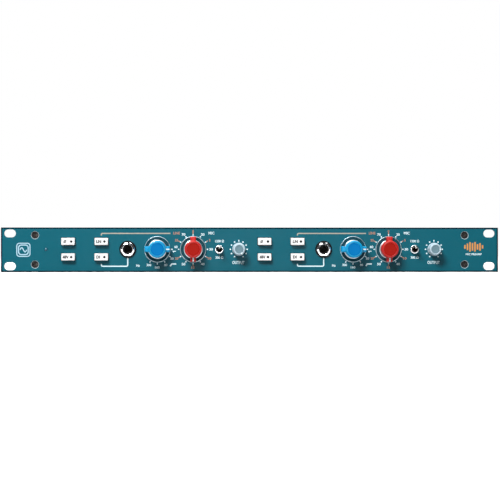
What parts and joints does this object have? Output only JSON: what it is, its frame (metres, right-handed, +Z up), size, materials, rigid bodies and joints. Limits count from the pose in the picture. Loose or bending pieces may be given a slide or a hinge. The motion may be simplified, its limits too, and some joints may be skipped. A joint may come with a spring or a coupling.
{
  "type": "microphone preamp",
  "caption": "Microphone preamp in a shallow 19-inch rack case, with winged rotary gain and filter knobs, push buttons, impedance toggles and front instrument jacks.",
  "frame": {"origin": "centre of the four rack slots, on the rear face of the front panel where the rack's rails bear", "axes": "+X to the right seen from the front, +Y towards the rear, +Z up"},
  "size_m": [0.4826, 0.2517, 0.0432],
  "materials": {
    "panel_paint": "teal paint, satin, faintly brushed under the paint",
    "case_powder": "black fine-texture powder coat",
    "black_screw": "black oxide",
    "dial_metal": "turned, bright rim",
    "nut_chrome": "bright nickel plating",
    "switch_steel": "zinc-plated sheet",
    "black_moulding": "moulded, slight grain",
    "washer_black": "moulded, semi-gloss",
    "lamp_lens": "clear dome",
    "socket_shell": "black cast shell",
    "circuit_board": "green solder resist",
    "capacitor_sleeve": "shrunk sleeve",
    "heat_sink": "black anodised",
    "transformer_can": "varnished laminations",
    "loom_sleeve": "braided sleeve",
    "knob_red": "satin moulding",
    "shaft_steel": "turned",
    "knob_blue": "satin moulding",
    "knob_grey": "satin moulding",
    "cap_grey": "satin moulding",
    "lever_chrome": "polished",
    "button_white": "moulded, semi-gloss",
    "latch_steel": "stamped"
  },
  "bodies": {
    "case": {"front_panel": "panel_paint", "chassis_tray": "case_powder", "rear_panel": "case_powder", "top_cover": "case_powder", "panel_screws": "black_screw", "cover_screws": "black_screw", "rear_screws": "black_screw", "dial_rings": "dial_metal", "control_nuts": "nut_chrome", "gain_switches": "switch_steel", "filter_switches": "switch_steel", "output_pots": "switch_steel", "button_switches": "black_moulding", "toggle_switches": "switch_steel", "toggle_nuts": "nut_chrome", "di_jacks": "black_moulding", "jack_washers": "washer_black", "jack_nuts": "nut_chrome", "power_led": "lamp_lens", "input_sockets": "socket_shell", "output_sockets": "socket_shell", "power_inlet": "socket_shell", "amp_boards": "circuit_board", "board_capacitors": "capacitor_sleeve", "power_transistors": "heat_sink", "board_standoffs": "switch_steel", "audio_transformers": "transformer_can", "wiring_looms": "loom_sleeve"},
    "gain_dial_1": {"gain_knob_1": "knob_red", "gain_knob_cap_1": "knob_red", "gain_shaft_1": "shaft_steel"},
    "filter_dial_1": {"filter_knob_1": "knob_blue", "filter_knob_cap_1": "knob_blue", "filter_shaft_1": "shaft_steel"},
    "output_dial_1": {"output_knob_1": "knob_grey", "output_knob_cap_1": "cap_grey", "output_shaft_1": "shaft_steel"},
    "toggle_1": {"toggle_lever_1": "lever_chrome"},
    "phase_push_1": {"phase_button_1": "button_white"},
    "phantom_push_1": {"phantom_button_1": "button_white"},
    "line_push_1": {"line_button_1": "button_white"},
    "di_push_1": {"di_button_1": "button_white"},
    "mic_release_1": {"mic_latch_1": "latch_steel"},
    "line_release_1": {"line_latch_1": "latch_steel"},
    "gain_dial_2": {"gain_knob_2": "knob_red", "gain_knob_cap_2": "knob_red", "gain_shaft_2": "shaft_steel"},
    "filter_dial_2": {"filter_knob_2": "knob_blue", "filter_knob_cap_2": "knob_blue", "filter_shaft_2": "shaft_steel"},
    "output_dial_2": {"output_knob_2": "knob_grey", "output_knob_cap_2": "cap_grey", "output_shaft_2": "shaft_steel"},
    "toggle_2": {"toggle_lever_2": "lever_chrome"},
    "phase_push_2": {"phase_button_2": "button_white"},
    "phantom_push_2": {"phantom_button_2": "button_white"},
    "line_push_2": {"line_button_2": "button_white"},
    "di_push_2": {"di_button_2": "button_white"},
    "mic_release_2": {"mic_latch_2": "latch_steel"},
    "line_release_2": {"line_latch_2": "latch_steel"}
  },
  "joints": [
    {"name": "gain_turn_1", "type": "hinge", "parent": "case", "child": "gain_dial_1", "pos_m": [-0.0558, -0.01, 0.0005], "axis": [0, 1, 0], "range_deg": [-180, 150]},
    {"name": "filter_turn_1", "type": "hinge", "parent": "case", "child": "filter_dial_1", "pos_m": [-0.0904, -0.01, 0.0005], "axis": [0, 1, 0], "range_deg": [0, 120]},
    {"name": "output_turn_1", "type": "hinge", "parent": "case", "child": "output_dial_1", "pos_m": [-0.0115, -0.01, 0.0005], "axis": [0, 1, 0], "range_deg": [-300, 0]},
    {"name": "impedance_toggle_1", "type": "hinge", "parent": "case", "child": "toggle_1", "pos_m": [-0.0305, -0.0067, 0.0005], "axis": [1, 0, 0], "range_deg": [0, 26]},
    {"name": "phase_press_1", "type": "slide", "parent": "case", "child": "phase_push_1", "axis": [0, 1, 0], "range_m": [0, 0.003], "stiffness_N_per_m": 150, "springref_m": -0.002},
    {"name": "phantom_press_1", "type": "slide", "parent": "case", "child": "phantom_push_1", "axis": [0, 1, 0], "range_m": [0, 0.003], "stiffness_N_per_m": 150, "springref_m": -0.002},
    {"name": "line_press_1", "type": "slide", "parent": "case", "child": "line_push_1", "axis": [0, 1, 0], "range_m": [0, 0.003], "stiffness_N_per_m": 150, "springref_m": -0.002},
    {"name": "di_press_1", "type": "slide", "parent": "case", "child": "di_push_1", "axis": [0, 1, 0], "range_m": [0, 0.003], "stiffness_N_per_m": 150, "springref_m": -0.002},
    {"name": "mic_release_press_1", "type": "slide", "parent": "case", "child": "mic_release_1", "axis": [0, -1, 0], "range_m": [0, 0.002], "stiffness_N_per_m": 200, "springref_m": -0.001},
    {"name": "line_release_press_1", "type": "slide", "parent": "case", "child": "line_release_1", "axis": [0, -1, 0], "range_m": [0, 0.002], "stiffness_N_per_m": 200, "springref_m": -0.001},
    {"name": "gain_turn_2", "type": "hinge", "parent": "case", "child": "gain_dial_2", "pos_m": [0.1342, -0.01, 0.0005], "axis": [0, 1, 0], "range_deg": [-180, 150]},
    {"name": "filter_turn_2", "type": "hinge", "parent": "case", "child": "filter_dial_2", "pos_m": [0.0996, -0.01, 0.0005], "axis": [0, 1, 0], "range_deg": [0, 120]},
    {"name": "output_turn_2", "type": "hinge", "parent": "case", "child": "output_dial_2", "pos_m": [0.1785, -0.01, 0.0005], "axis": [0, 1, 0], "range_deg": [-240, 60]},
    {"name": "impedance_toggle_2", "type": "hinge", "parent": "case", "child": "toggle_2", "pos_m": [0.1595, -0.0067, 0.0005], "axis": [1, 0, 0], "range_deg": [0, 26]},
    {"name": "phase_press_2", "type": "slide", "parent": "case", "child": "phase_push_2", "axis": [0, 1, 0], "range_m": [0, 0.003], "stiffness_N_per_m": 150, "springref_m": -0.002},
    {"name": "phantom_press_2", "type": "slide", "parent": "case", "child": "phantom_push_2", "axis": [0, 1, 0], "range_m": [0, 0.003], "stiffness_N_per_m": 150, "springref_m": -0.002},
    {"name": "line_press_2", "type": "slide", "parent": "case", "child": "line_push_2", "axis": [0, 1, 0], "range_m": [0, 0.003], "stiffness_N_per_m": 150, "springref_m": -0.002},
    {"name": "di_press_2", "type": "slide", "parent": "case", "child": "di_push_2", "axis": [0, 1, 0], "range_m": [0, 0.003], "stiffness_N_per_m": 150, "springref_m": -0.002},
    {"name": "mic_release_press_2", "type": "slide", "parent": "case", "child": "mic_release_2", "axis": [0, -1, 0], "range_m": [0, 0.002], "stiffness_N_per_m": 200, "springref_m": -0.001},
    {"name": "line_release_press_2", "type": "slide", "parent": "case", "child": "line_release_2", "axis": [0, -1, 0], "range_m": [0, 0.002], "stiffness_N_per_m": 200, "springref_m": -0.001}
  ]
}
